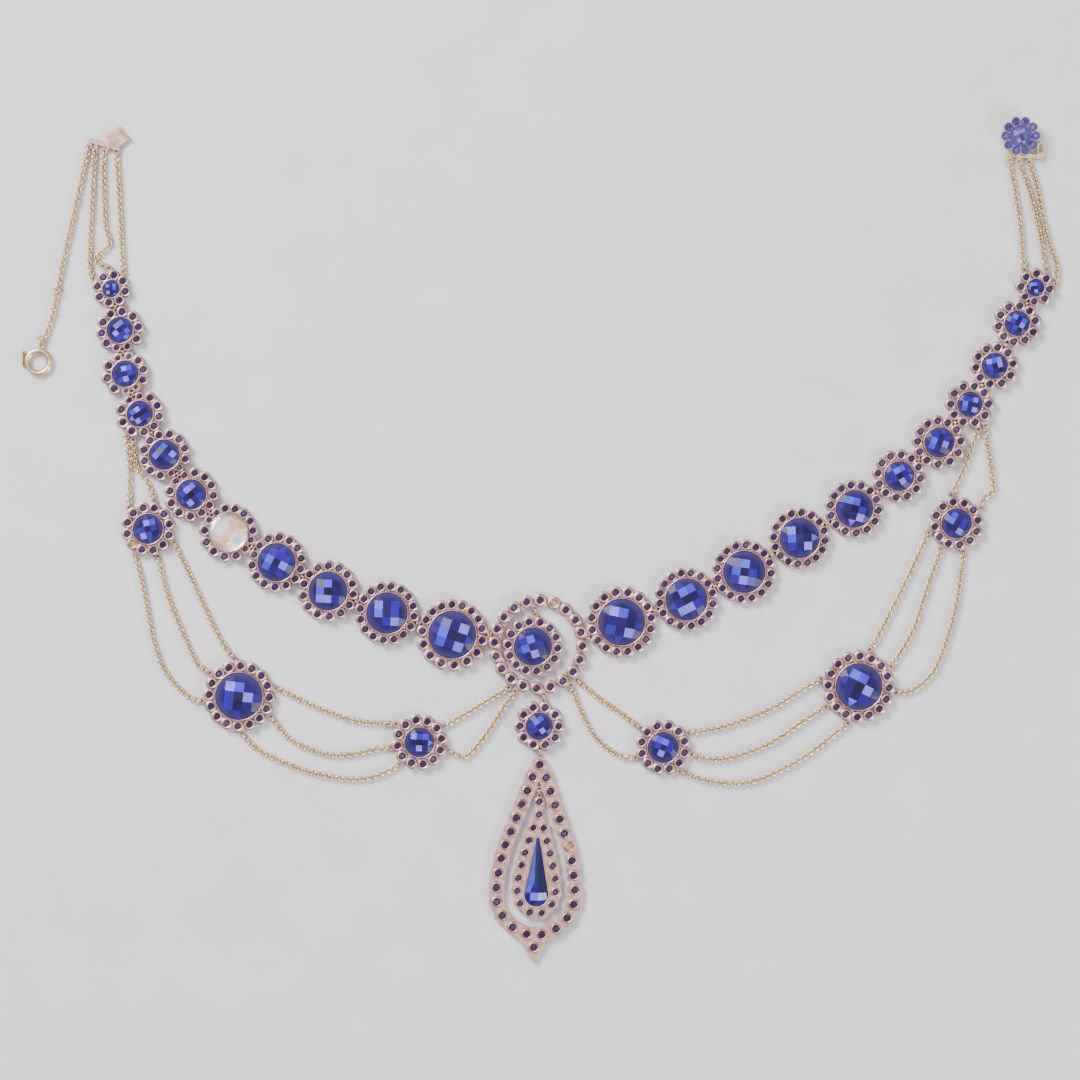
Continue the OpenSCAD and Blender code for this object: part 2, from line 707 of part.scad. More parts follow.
module pendant_small_stones() {
    last = len(FRAME_LEFT) - 1;
    for (p = concat(FRAME_LEFT, [FINIAL])) small_stone(p, seat_r, frame_t + 0.25);
    for (i = [1 : last])
        if (i - 1 != EMPTY_FRAME_STONE) small_stone(FRAME_RIGHT[i], seat_r, frame_t + 0.25);
    for (p = INNER_LEFT) small_stone(p, inner_seat, frame_t + 0.15);
    for (i = [2 : len(INNER_RIGHT) - 1]) small_stone(INNER_RIGHT[i], inner_seat, frame_t + 0.15);
}

// A chain's path: a smooth curve through its points, which starts and ends short of its eyelets
function curve(points) =
    let (n = len(points) - 1)
    [for (k = [0 : n - 1])
        let (steps = max(1, round(norm(points[k + 1] - points[k]) / ring_pitch)))
        for (step = [0 : steps - 1])
            let (
                a = points[max(0, k - 1)],
                b = points[k],
                c = points[k + 1],
                d = points[min(n, k + 2)],
                t = step / steps
            )
            b + (c - a) * 0.5 * t + (a * 2 - b * 5 + c * 4 - d) * 0.5 * t * t
                + (b * 3 - c * 3 + d - a) * 0.5 * t * t * t,
        points[n]];
function short_of(eyelet, next) = eyelet + dir(angle_to(eyelet, next)) * (eyelet_r + end_gap);

module chain(item) {
    inner = item[2];
    start = short_of(eyelet_at(item[0]), inner[0]);
    stop = short_of(eyelet_at(item[1]), inner[len(inner) - 1]);
    path = curve(concat([start], inner, [stop]));
    n = len(path) - 1;
    levels = [for (i = [0 : n])
        let (
            heading = angle_to(path[max(0, i - 1)], path[min(n, i + 1)]),
            across = dir(heading - 90)
        )
        [for (j = [0 : tube_sides - 1])
            let (
                turn = (j + 0.5) * 360 / tube_sides,
                p = path[i] + across * cos(turn) * chain_d / 2
            )
            [p[0], p[1], chain_z + sin(turn) * chain_d / 2]]];
    color(gold) stack([for (i = [n : -1 : 0]) levels[i]]);
}

module chains(list) {
    for (item = list) chain(item);
}

module loops(list) {
    for (p = list) {
        post(p, eyelet_r, eyelet_t, eyelet_z);
        bar(p, [p[0], p[1]] + dir(p[2]) * loop_stem, 0.9, eyelet_t, eyelet_z);
    }
}

// The springy tongue: two leaves joined at one edge, on a bar with four loops
module clasp_tongue() {
    size = tongue_size;
    color(rose) difference() {
        union() {
            translate([TONGUE[0], TONGUE[1], 0]) rotate([0, 0, tongue_turn]) {
                difference() {
                    translate([-size[0] / 2, -size[1] / 2, 0]) cube(size);
                    translate([-size[0] / 2 + 0.8, -size[1] / 2 - 1, 0.45])
                        cube([size[0], size[1] + 2, tongue_slot]);
                    translate([-size[0] / 2 + tongue_border, -size[1] / 2 + tongue_border, size[2] - 0.12])
                        cube([size[0] - 2 * tongue_border, size[1] - 2 * tongue_border, 1]);
                }
                translate([-size[0] / 2 - 1.9, -0.9, bar_z]) cube([2.4, 1.8, 0.7]);
            }
            bar(TONGUE_BAR[0], TONGUE_BAR[1], bar_w, bar_t, bar_z);
            post(TONGUE_BAR[0], bar_w / 2 + 0.1, bar_t, bar_z);
            post(TONGUE_BAR[1], bar_w / 2 + 0.1, bar_t, bar_z);
            loops(TONGUE_LOOPS);
        }
        for (p = TONGUE_LOOPS) through(p, eyelet_hole);
    }
}

// The rosette on its hollow box, with a bar of three loops and the catch of the safety chain
module clasp_box() {
    centre = at(ROSETTE);
    collets = even_collets(ROSETTE, [], collet_r(ROSETTE));
    rosette_z = box_h;
    color(rose) difference() {
        union() {
            post(centre, box_r, box_h + 0.7);
            translate([0, 0, rosette_z]) {
                for (c = collets) post(collet_at(ROSETTE, c), c[WIDE], collet_h - 0.3);
                post(centre, ROSETTE[STONE] + 0.25, collet_h + 0.1);
            }
            bar(CLASP_BAR[0], CLASP_BAR[1], bar_w, bar_t, bar_z);
            bar([119.6, 95.6], centre, 1.6, bar_t, bar_z);
            loops(CLASP_LOOPS);
            post(CATCH + [0, 1.2], 0.85, 0.8, 0.4);
            bar(CATCH - [0, 1.8], CATCH + [0, 1.2], 1.7, 0.8, 0.4);
        }
        translate([centre[0] - box_slot[0] / 2, centre[1] - 2.6, 0.4])
            cube([box_slot[0], 10, box_slot[1]]);
        for (c = collets)
            post(collet_at(ROSETTE, c), seat_r - 0.05, 3, rosette_z + collet_h - 0.3 - seat_d);
        post(centre, ROSETTE[STONE], 3, rosette_z + collet_h + 0.1 - main_seat_d);
        for (p = CLASP_LOOPS) through(p, eyelet_hole);
        post(CATCH + [0, 1.2], 0.45, 2, 0);
        bar(CATCH - [0, 0.4], CATCH + [0, 1.2], 0.9, 2, 0);
    }
}

module clasp_stones() {
    top = box_h + collet_h;
    for (c = even_collets(ROSETTE, [], collet_r(ROSETTE)))
        small_stone(collet_at(ROSETTE, c), seat_r - 0.05, top - 0.3, lavender);
    color(lavender) cut_stone(at(ROSETTE), ROSETTE[STONE] - stone_gap,
        top + 0.1 - main_seat_d + stone_gap, main_seat_d - 0.2, 0.8, 12, 0.6);
}

// An arc of a tube about the bolt ring's middle
module hoop_arc(from, to, r) {
    rotate([0, 0, from]) rotate_extrude(angle = to - from) translate([hoop_r, 0]) circle(r = r);
}

module bolt_ring() {
    loop = eyelet_at([ON_HOOP, 0, 0]) - HOOP;
    color(gold) translate([HOOP[0], HOOP[1], hoop_tube]) difference() {
        union() {
            hoop_arc(mouth_to, mouth_from + 360, hoop_tube);
            post(loop, eyelet_r, 0.8, -0.4);
            bar(dir(hoop_loop_at) * hoop_r, loop, 1.1, 0.8, -0.4);
        }
        hoop_arc(stem_at - bolt_travel - 13, mouth_from + 1, hoop_bore);
        hoop_arc(mouth_to - 1, mouth_to + 12, hoop_bore);
        rotate([0, 0, stem_at - bolt_travel - 8]) rotate_extrude(angle = bolt_travel + 16)
            translate([hoop_r, -stem_r - 0.14]) square([2, 2 * stem_r + 0.28]);
        post(loop, eyelet_hole, 3, -1.5);
    }
}

module bolt() {
    color(gold) translate([HOOP[0], HOOP[1], hoop_tube]) {
        hoop_arc(bolt_from, bolt_to, bolt_r);
        rotate([0, 0, stem_at]) translate([hoop_r, 0, 0]) rotate([0, 90, 0])
            cylinder(r = stem_r, h = 1.85, $fn = 0);
        translate([-hoop_r - hoop_tube - 0.12 - LEVER[0], -LEVER[3], -LEVER[2] / 2])
            cube([LEVER[0], LEVER[1], LEVER[2]]);
    }
}

for (k = [1 : 11]) {
    row_setting(MIDDLE - k);
    row_setting(MIDDLE + k);
}
for (k = [1 : 3]) {
    swag_setting(k - 1);
    swag_setting(k + 2);
}
for (k = [1 : 4]) {
    chains(SWAGS_LEFT[k - 1]);
    chains(SWAGS_RIGHT[k - 1]);
}
open_ring();  // centre_ring
inner_setting();  // centre_setting
drop_setting();  // small_drop_setting
pendant_frame();
pear_setting();
row_stones(0, MIDDLE - 1);  // row_stones_left
row_stones(MIDDLE + 1, len(ROW) - 1);  // row_stones_right
swag_stones(0);  // swag_stones_left
swag_stones(3);  // swag_stones_right
main_stone(INNER);  // centre_stone
main_stone(DROP);  // small_drop_stone
pear_stone();
ring_small_stones();
cluster_small_stones();  // centre_small_stones
pendant_small_stones();
link_rings();
chains(BACK_LEFT);  // back_chains_left
chains(BACK_RIGHT);  // back_chains_right
chains(SAFETY);  // safety_chain
clasp_tongue();
clasp_box();
clasp_stones();
bolt_ring();
bolt();
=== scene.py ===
"""Looks of a festoon necklace: pale rose gold clusters of blue paste, fine chains, a pear pendant.

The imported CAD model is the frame. Its metal is shown as it is, with a worn gold material and a
bezel on each collet. The stones are cut and the chains are linked here, where the frame has
their seats and their paths. Lengths are in millimetres until a mesh is made.
"""

import math
import random

import bmesh
import bpy
import numpy as np
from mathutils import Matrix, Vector


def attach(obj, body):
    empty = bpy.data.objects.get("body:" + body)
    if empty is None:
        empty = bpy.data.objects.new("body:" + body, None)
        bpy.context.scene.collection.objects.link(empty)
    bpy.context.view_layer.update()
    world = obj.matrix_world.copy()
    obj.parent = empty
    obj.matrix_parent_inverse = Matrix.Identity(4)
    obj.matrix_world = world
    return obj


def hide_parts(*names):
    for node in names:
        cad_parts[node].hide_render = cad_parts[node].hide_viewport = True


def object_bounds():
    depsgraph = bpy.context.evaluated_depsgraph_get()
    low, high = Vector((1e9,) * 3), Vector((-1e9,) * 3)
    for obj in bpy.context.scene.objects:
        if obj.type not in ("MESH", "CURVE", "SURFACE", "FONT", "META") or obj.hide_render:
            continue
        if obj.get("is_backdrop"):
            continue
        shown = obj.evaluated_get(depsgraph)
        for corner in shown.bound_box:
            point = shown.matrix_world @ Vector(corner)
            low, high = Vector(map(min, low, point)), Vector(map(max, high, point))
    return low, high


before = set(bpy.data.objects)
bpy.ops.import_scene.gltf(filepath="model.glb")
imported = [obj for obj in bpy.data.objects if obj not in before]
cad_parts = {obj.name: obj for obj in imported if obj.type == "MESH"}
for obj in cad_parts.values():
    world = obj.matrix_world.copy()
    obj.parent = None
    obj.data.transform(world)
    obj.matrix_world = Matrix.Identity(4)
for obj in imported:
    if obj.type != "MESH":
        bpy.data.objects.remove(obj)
cad_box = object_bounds()

MM = 0.001
BODY = "necklace"
random.seed(11)

# Pieces of the frame
SIDES = ("left", "right")
SETTINGS = (
    [f"row_setting_{side}_{k:02d}" for side in SIDES for k in range(1, 12)]
    + [f"swag_setting_{side}_{k}" for side in SIDES for k in (1, 2, 3)]
    + ["centre_ring", "centre_setting", "small_drop_setting", "pendant_frame", "pear_setting"]
)
CHAINS = ["back_chains_left", "back_chains_right", "safety_chain"] + [
    f"swag_chains_{side}_{k}" for side in SIDES for k in (1, 2, 3, 4)
]
PENDANT = ("pendant_frame", "pear_setting")
YELLOW_METAL = ("link_rings", "clasp_box", "bolt_ring", "bolt")

# What counts as a seat in the frame
LEVEL = 0.999                 # upward part of a level face's normal
FEWEST_CORNERS = 8
ROUND_WITHIN = 0.03
SMALLEST_SEAT = 0.6
SMALLEST_MAIN = 1.6           # seats wider than this hold a main stone
LOWEST_FLOOR = 0.5
FILLED_SHARE = 0.9            # of the seat's circle, by its level floor
MAIN_SEAT_DEPTH = 0.9
SMALL_SEAT_DEPTH = 0.45
ROSETTE_FLOOR = 2             # the seats of the clasp's rosette are above this
SEAT_LIFT = 0.05              # of what lies on the floor of an empty seat

# Seats whose stone is lost: node, place
LOST = [
    ("row_setting_left_05", (-77.8, 2.1)),
    ("centre_ring", (3.3, -15.5)),
    ("pendant_frame", (7.2, -76.1)),
    ("swag_setting_left_1", (-101.1, -0.7)),
]
LOST_WITHIN = 0.9

# How near the frame's points are to where they are looked for
DOUBLED_WITHIN = 1e-4
CREST_WITHIN = 1e-3
TUBE_SIDES = 8                # of the frame's chains
TUBE_SIDE_WITHIN = 0.02       # as a share of the tube's height
OUTLINE_WITHIN = 0.01
GIRDLE_WITHIN = 0.05

# Cut of the stones
STONE_CLEARANCE = 0.02
FACET_STEP = 0.4              # side of a square facet, as a share of the stone's radius
FACETS_WITHIN = 0.93          # share of the radius that has square facets
GIRDLE_POINTS = 40
MAIN_SKIRT = 0.5              # how far the stone goes down below its girdle
MAIN_BELOW_BEZEL = 0.12
DOME_RISE = 0.36              # as a share of the radius
FLAT_WITHIN = 0.6             # degrees between triangles that become one facet
SMALL_SKIRT = 0.3
SMALL_BELOW_BEZEL = 0.08
SMALL_RISE = 0.3
TABLE_SHARE = 0.55

# Tones of the facets, from dark at 0 to bright at 1. Beside random tones they hold painted shade
# and painted light.
HEART = 0.3                   # share of the radius that is darkest, as painted shade
SHOULDER = 0.75               # share of the radius within which some facets are painted as lit
HEART_TONES = (0.08, 0.3)
DEEP_TONES = (0.2, 0.38)
LIT_TONES = (0.45, 0.62)
LIT_CHANCE = 0.4
GLOW_ANGLES = (60, 170)       # of the painted blue light on the dome
# Chance of a second pale facet painted as a glint of the lamps
SECOND_GLINT_CHANCE = 0.5
SMALL_TONE = 0.42
SMALL_SPREAD = 0.3
# Tone of the painted shade on the steep facets at a small stone's edge
SHADED_EDGE_TONE = 0.15
LOOKS_UP = 0.3                # upward part of the normal of a facet that isn't an edge

# The pear-shaped stone, from the middle of its round end: lines between its square facets, where
# the ridge to its tip starts, and the tones of its brightest and darkest facets, as painted light
# and shade
PEAR_ROUND = 3.0
PEAR_RISE = 0.5               # as a share of the round end's radius
PEAR_LINES = (-1.5, 0.5, 2.5)
PEAR_RIDGE = (-0.5, 3.6)      # across, up
PEAR_FLAT_WITHIN = 2          # degrees
PEAR_SQUARE_TONES = (0.3, 0.5)
PEAR_LEANS_LEFT = -0.2        # sideways part of the normal of a long facet on the left
# Painted light on the long facets that lean left, painted shade on the long facets on the right
PEAR_LIT_LEFT_TONES = (0.58, 0.64)
PEAR_SHADED_RIGHT_TONES = (0.2, 0.28)
PEAR_GLINTS_AND_SHADES = [               # across, up, tone of single facets painted as glints and as shade
    (-0.5, -0.5, 0.84),
    (1.5, -0.5, 1.0),
    (-1.8, 1.5, 0.78),
    (-0.4, 1.5, 0.45),
    (1.6, 1.5, 0.08),
]

# The bare foil in the empty cup: a bowl whose wall is higher on the left, with patches
FOIL_SHARE = 0.99             # of the seat's radius
FOIL_RINGS = 20
FOIL_TURNS = 56
FOIL_BOWL = 0.2
FOIL_WALL = 0.32
FOIL_LEAN = 0.28
FOIL_TONE = 0.45              # between the patches
FOIL_WEIGHT = 0.3
FOIL_PATCHES = [              # across, up and size in shares of the radius, tone
    (-0.3, 0.45, 0.3, 0.12),
    (0.4, -0.4, 0.3, 0.0),
    (-0.25, -0.5, 0.32, 1.0),
    (0.0, 0.05, 0.25, 0.75),
    (0.6, 0.5, 0.45, 0.95),
]
BARE_SHARE = 0.97             # of a small bare seat's radius
BARE_SIDES = 20

# Collets, as the frame has them, and their bezels
FULL_SEAT = 0.95
NARROWER = 0.005              # than a full seat, by which one that faces a cluster is known
FACING_WALL = 0.25
COLLET_LAP = 1.03
COLLET_RADIUS = {"centre_ring": 1.65, "pendant_frame": 1.35, "pear_setting": 1.1}
MAIN_WALL = 0.3
MAIN_LAP = 0.04
MAIN_HEIGHT = 0.16
MAIN_TURNS = 56
MAIN_WOBBLE = 0.1
SMALL_LAP = 0.17
SMALL_HEIGHT = 0.2
SMALL_TURNS = 20
SMALL_WOBBLE = 0.12
PENDANT_LAP = 0.09
PENDANT_HEIGHT = 0.34
BEZEL_ACROSS = 8

# Chains
LINK_RADIUS = 0.65
WIRE_RADIUS = 0.215
LINK_PITCH = 0.867
LINK_TURNS = 14
WIRE_TURNS = 6
LINK_HEIGHT = 0.87
LEANING_TWIST = 34            # of the links that lie, and of the next ones from upright
TWIST_SPREAD = 7
LINKS_TO_LEAN = 4             # from an upright end to the first link that leans fully
END_TO_LINK = 0.31            # from the end of a chain's path out to its first link
LOOK_AHEAD = 0.4
PATH_STEPS = 8
JUMP_WIRE = 0.2
JUMP_LIFT = 0.22
JUMP_RINGS = [                # the wider rings on the safety chain: x, y, lean, radius
    (-120.3, 62.6, 60, 1.1),
    (-124.55, 50.2, 40, 1.1),
]

# Scales of the noise in the materials, in turns for a metre
PATCH_SCALE = 650
WEAR_SCALE = 900
DENT_SCALE = 1100
CLOUD_SCALE = 260
SWIRL_SCALE = 420
FLOOR_SCALE = 60

BLACK = (0, 0, 0)
WHITE = (1, 1, 1)

# Colours of the stones by tone
BLUE = [
    (0.08, (0.010, 0.008, 0.024)),
    (0.3, (0.026, 0.019, 0.10)),
    (0.5, (0.036, 0.014, 0.29)),
    (0.7, (0.045, 0.035, 0.50)),
    (0.86, (0.08, 0.10, 0.88)),
    (1.0, (0.24, 0.21, 0.88)),
]
VIOLET = [
    (0.1, (0.02, 0.012, 0.045)),
    (0.55, (0.055, 0.036, 0.10)),
    (1.0, (0.16, 0.115, 0.25)),
]
LAVENDER = [
    (0.1, (0.035, 0.03, 0.10)),
    (0.5, (0.095, 0.08, 0.28)),
    (1.0, (0.26, 0.22, 0.60)),
]
PEAR = [
    (0.05, (0.008, 0.005, 0.03)),
    (0.25, (0.022, 0.023, 0.075)),
    (0.45, (0.022, 0.004, 0.17)),
    (0.6, (0.06, 0.095, 0.36)),
    (0.8, (0.12, 0.05, 0.84)),
    (1.0, (0.34, 0.38, 0.90)),
]
FOIL = [
    (0.0, (0.42, 0.62, 0.88)),
    (0.35, (1.0, 1.0, 1.0)),
    (0.6, (1.0, 0.74, 0.60)),
    (1.0, (0.88, 0.42, 0.20)),
]
FLOOR = [(0.3, (0.80, 0.80, 0.80)), (0.7, (0.84, 0.84, 0.84))]

# Light and camera, in metres
SOFTBOXES = [                 # name, place, width, power, colour
    ("overhead", (0.1, -0.05, 1.5), 1.0, 4, (1.0, 0.99, 0.97)),
    ("key", (-0.6, 0.6, 0.8), 0.5, 20, (1.0, 0.98, 0.96)),
    ("fill", (0.7, -0.55, 0.6), 0.4, 7, (0.94, 0.95, 1.0)),
]
SKY = (0.92, 0.93, 0.96)
SKY_STRENGTH = 0.5
FLOOR_SIZE = 6
FRAME_WIDTH = 0.270           # the photograph's square, at 0.25 mm for a pixel
FRAME_MIDDLE = (-0.000125, 0.00025)
LENS = 135
SENSOR = 36


class Shape:
    """Points and faces collected in mm, made into one object.

    Each face has a tone, and each point says how near the rim of its stone it is.
    """

    def __init__(self):
        self.points = []
        self.faces = []
        self.tones = []
        self.rims = []

    def add(self, points, faces, tones=None, rims=None):
        start = len(self.points)
        self.points.extend(tuple(p) for p in points)
        self.faces.extend(tuple(start + i for i in face) for face in faces)
        self.tones.extend(tones or [0.5] * len(faces))
        self.rims.extend(rims or [0.0] * len(points))

    def build(self, name, material, slot, smooth=True, stands_for=()):
        mesh = bpy.data.meshes.new(name)
        mesh.from_pydata([tuple(c * MM for c in p) for p in self.points], [], self.faces)
        tone = mesh.attributes.new("tone", "FLOAT", "FACE")
        tone.data.foreach_set("value", self.tones)
        rim = mesh.attributes.new("rim", "FLOAT", "POINT")
        rim.data.foreach_set("value", self.rims)
        mesh.polygons.foreach_set("use_smooth", [smooth] * len(self.faces))
        mesh.materials.append(material)
        obj = bpy.data.objects.new(name, mesh)
        bpy.context.collection.objects.link(obj)
        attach(obj, BODY)
        if stands_for:
            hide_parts(*stands_for)


# What the frame has

def welded(node):
    """The CAD node's mesh with its doubled points joined, in mm."""
    mesh = bmesh.new()
    mesh.from_mesh(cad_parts[node].data)
    mesh.transform(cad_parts[node].matrix_world)
    for vertex in mesh.verts:
        vertex.co /= MM
    bmesh.ops.remove_doubles(mesh, verts=mesh.verts, dist=DOUBLED_WITHIN)
    mesh.normal_update()
    return mesh


def level_areas(mesh):
    """Groups of joined faces that look straight up, at one height."""
    seen = set()
    for face in mesh.faces:
        if face in seen or face.normal.z < LEVEL:
            continue
        seen.add(face)
        group = [face]
        for member in group:
            for edge in member.edges:
                for other in edge.link_faces:
                    if other not in seen and other.normal.z > LEVEL:
                        seen.add(other)
                        group.append(other)
        yield group


def circle_through(points):
    """Centre, radius and largest error of the circle through points (least squares)."""
    xy = np.array([(p.x, p.y) for p in points])
    terms = np.column_stack([2 * xy, np.ones(len(xy))])
    a, b, c = np.linalg.lstsq(terms, (xy**2).sum(axis=1), rcond=None)[0]
    radius = math.sqrt(c + a * a + b * b)
    error = np.abs(np.hypot(xy[:, 0] - a, xy[:, 1] - b) - radius).max()
    return (a, b), radius, error


def seats(node):
    """Round seats cut in a CAD node, as (x, y, floor height, radius)."""
    mesh = welded(node)
    found = []
    for group in level_areas(mesh):
        members = set(group)
        rim = {
            v
            for f in group
            for e in f.edges
            if sum(g in members for g in e.link_faces) == 1
            for v in e.verts
        }
        if len(rim) < FEWEST_CORNERS:
            continue
        (x, y), radius, error = circle_through([v.co for v in rim])
        area = sum(f.calc_area() for f in group)
        height = group[0].calc_center_median().z
        is_round = error < ROUND_WITHIN and radius > SMALLEST_SEAT
        is_full = area > FILLED_SHARE * math.pi * radius**2
        if is_round and is_full and height > LOWEST_FLOOR:
            found.append((x, y, height, radius))
    mesh.free()
    return found


def holds_main(seat):
    return seat[3] > SMALLEST_MAIN


def is_lost(node, seat):
    return any(n == node and math.dist(seat[:2], place) < LOST_WITHIN for n, place in LOST)


def centrelines(node):
    """The paths of a CAD node's chains in mm: middles of the two top points of each ring."""
    mesh = welded(node)
    top = max(v.co.z for v in mesh.verts)
    crest = {v for v in mesh.verts if v.co.z > top - CREST_WITHIN}
    across = top * math.sin(math.pi / TUBE_SIDES)
    ring_of = {}
    middles = []
    for edge in mesh.edges:
        a, b = edge.verts
        if not (a in crest and b in crest):
            continue
        if abs((a.co - b.co).length - across) < TUBE_SIDE_WITHIN * top:
            ring_of[a] = ring_of[b] = len(middles)
            middles.append((a.co + b.co) / 2)
    near = {i: set() for i in range(len(middles))}
    for edge in mesh.edges:
        a, b = (ring_of.get(v) for v in edge.verts)
        if a is not None and b is not None and a != b:
            near[a].add(b)
            near[b].add(a)
    mesh.free()
    paths = []
    used = set()
    for start in near:
        if start in used or len(near[start]) != 1:
            continue
        path = [start]
        used.add(start)
        while True:
            following = [i for i in near[path[-1]] if i not in used]
            if not following:
                break
            path.append(following[0])
            used.add(following[0])
        paths.append([np.array((middles[i].x, middles[i].y)) for i in path])
    return paths


# Shapes of the stones, the foil and the bezels

def stacked_faces(rows, count):
    """Faces between stacked rings of count points, with the last ring filled."""
    faces = []
    for k in range(rows - 1):
        for i in range(count):
            j = (i + 1) % count
            faces.append([k * count + i, k * count + j, (k + 1) * count + j, (k + 1) * count + i])
    faces.append([(rows - 1) * count + i for i in range(count)])
    return faces


def tube_faces(around, across):
    """Faces of a tube that closes on itself, of `around` rings with `across` points each."""
    faces = []
    for i in range(around):
        n = (i + 1) % around
        for j in range(across):
            m = (j + 1) % across
            faces.append([i * across + j, n * across + j, n * across + m, i * across + m])
    return faces


def facets_of(mesh, flat_within):
    """Points and faces of the hull of a bmesh's points, with flat triangles joined."""
    bmesh.ops.convex_hull(mesh, input=mesh.verts)
    bmesh.ops.dissolve_limit(
        mesh, angle_limit=math.radians(flat_within), verts=mesh.verts, edges=mesh.edges
    )
    mesh.verts.ensure_lookup_table()
    mesh.verts.index_update()
    points = [tuple(v.co) for v in mesh.verts]
    faces = [[v.index for v in f.verts] for f in mesh.faces]
    mesh.free()
    return points, faces


def square_cut(radius, rise, turn):
    """A domed stone cut all over in square facets: points and faces, its girdle at height 0."""
    curve = rise / radius**2
    step = radius * FACET_STEP
    reach = int(1 / FACET_STEP) + 2
    mesh = bmesh.new()
    for i in range(-reach, reach + 1):
        for j in range(-reach, reach + 1):
            x = (i + 0.5) * step
            y = (j + 0.5) * step
            if math.hypot(x, y) < radius * FACETS_WITHIN:
                mesh.verts.new((x, y, rise - curve * (x * x + y * y)))
    for k in range(GIRDLE_POINTS):
        angle = 2 * math.pi * k / GIRDLE_POINTS
        mesh.verts.new((radius * math.cos(angle), radius * math.sin(angle), 0))
        mesh.verts.new((radius * math.cos(angle), radius * math.sin(angle), -MAIN_SKIRT))
    points, faces = facets_of(mesh, FLAT_WITHIN)
    c, s = math.cos(turn), math.sin(turn)
    return [(x * c - y * s, x * s + y * c, z) for x, y, z in points], faces


def eight_cut(radius, rise, turn):
    """A small stone with eight facets and a table."""
    points = []
    for r, z in ((radius, -SMALL_SKIRT), (radius, 0), (radius * TABLE_SHARE, rise)):
        for i in range(8):
            angle = turn + i * math.pi / 4
            points.append((r * math.cos(angle), r * math.sin(angle), z))
    return points, stacked_faces(3, 8)


def outward(points, face):
    """The facet's normal, turned up."""
    a, b, c = (Vector(points[i]) for i in face[:3])
    normal = (b - a).cross(c - a).normalized()
    return normal if normal.z >= 0 else -normal


def facet_tones(points, faces):
    """Tones of a small stone: by chance on its facets, with painted shade on its steep edge."""
    return [
        min(1, max(0, SMALL_TONE + random.uniform(-SMALL_SPREAD, SMALL_SPREAD)))
        if outward(points, face).z > LOOKS_UP
        else SHADED_EDGE_TONE
        for face in faces
    ]


def dome_tones(points, faces, radius):
    """A dark stone with painted shade at its heart, painted blue light on one side of its dome and
    pale facets painted as glints of the lamps on the other.
    """
    middles = []
    for face in faces:
        corners = [points[i] for i in face]
        middles.append([sum(c[axis] for c in corners) / len(corners) for axis in (0, 1)])
    tones = []
    for middle in middles:
        far = math.hypot(*middle) / radius
        # Painted shade in the heart, painted light on some facets of the shoulder, random tones
        # elsewhere
        if far < HEART:
            tones.append(random.uniform(*HEART_TONES))
        elif far < SHOULDER and random.random() < LIT_CHANCE:
            tones.append(random.uniform(*LIT_TONES))
        else:
            tones.append(random.uniform(*DEEP_TONES))
    glow = random.uniform(*GLOW_ANGLES)
    # Painted light: the blue glow on one side and pale glints of the lamps on the other
    spots = [                 # share of the radius, angle, tone
        (0.50, glow, 0.86),
        (0.56, glow + random.choice((-1, 1)) * random.uniform(45, 70), 0.76),
        (0.48, glow + 180 + random.uniform(-35, 35), 0.98),
    ]
    if random.random() < SECOND_GLINT_CHANCE:
        spots.append((0.62, glow + 180 + random.choice((-1, 1)) * random.uniform(50, 75), 0.94))
    for far, angle, tone in spots:
        place = [radius * far * f(math.radians(angle)) for f in (math.cos, math.sin)]
        nearest = min(range(len(faces)), key=lambda k: math.dist(middles[k], place))
        tones[nearest] = tone
    return tones


def pear_cut():
    """Points and faces over the outline of the frame's stone, with tones, which hold painted light
    and shade, and rim shares.

    Square facets cover its round end, and long ones run up to its tip.
    """
    mesh = welded("pear_stone")
    low = min(v.co.z for v in mesh.verts)
    outline = [v.co.copy() for v in mesh.verts if v.co.z < low + OUTLINE_WITHIN]
    mesh.free()
    foot = min(outline, key=lambda p: p.y)
    tip = max(outline, key=lambda p: p.y)
    axis = (tip - foot).xy.normalized()
    across = Vector((axis.y, -axis.x))
    middle = foot.xy + axis * PEAR_ROUND
    taper = (tip - foot).xy.length - PEAR_ROUND
    girdle = low + MAIN_SEAT_DEPTH - MAIN_BELOW_BEZEL
    rise = PEAR_RISE * PEAR_ROUND
    hull = bmesh.new()
    for p in outline:
        hull.verts.new((p.x, p.y, low))
        hull.verts.new((p.x, p.y, girdle))
    for up in PEAR_LINES:
        for right in PEAR_LINES:
            beyond = max(up, 0) / taper
            if math.hypot(right, min(up, 0)) < FACETS_WITHIN * PEAR_ROUND * (1 - beyond):
                fall = (right**2 + min(up, 0) ** 2) / PEAR_ROUND**2 + beyond
                place = middle + axis * up + across * right
                hull.verts.new((place.x, place.y, girdle + rise * (1 - fall)))
    right, up = PEAR_RIDGE
    place = middle + axis * up + across * right
    hull.verts.new((place.x, place.y, girdle + rise * (1 - up / taper)))
    points, faces = facets_of(hull, PEAR_FLAT_WITHIN)
    rims = [float(p[2] < girdle + GIRDLE_WITHIN) for p in points]
    tones, places = [], []
    for face in faces:
        centre = sum((Vector(points[i]).xy for i in face), Vector((0, 0))) / len(face) - middle
        places.append(Vector((centre.dot(across), centre.dot(axis))))
        if places[-1].y < max(PEAR_LINES):
            tones.append(random.uniform(*PEAR_SQUARE_TONES))
        else:
            # Painted light on long facets that lean left, painted shade on the others
            leans_left = outward(points, face).xy.dot(across) < PEAR_LEANS_LEFT
            tones.append(random.uniform(*(PEAR_LIT_LEFT_TONES if leans_left else PEAR_SHADED_RIGHT_TONES)))
    # Single facets painted as glints and as shade
    for right, up, tone in PEAR_GLINTS_AND_SHADES:
        nearest = min(
            (k for k in range(len(faces)) if outward(points, faces[k]).z > LOOKS_UP),
            key=lambda k: (places[k] - Vector((right, up))).length,
        )
        tones[nearest] = tone
    return points, faces, tones, rims


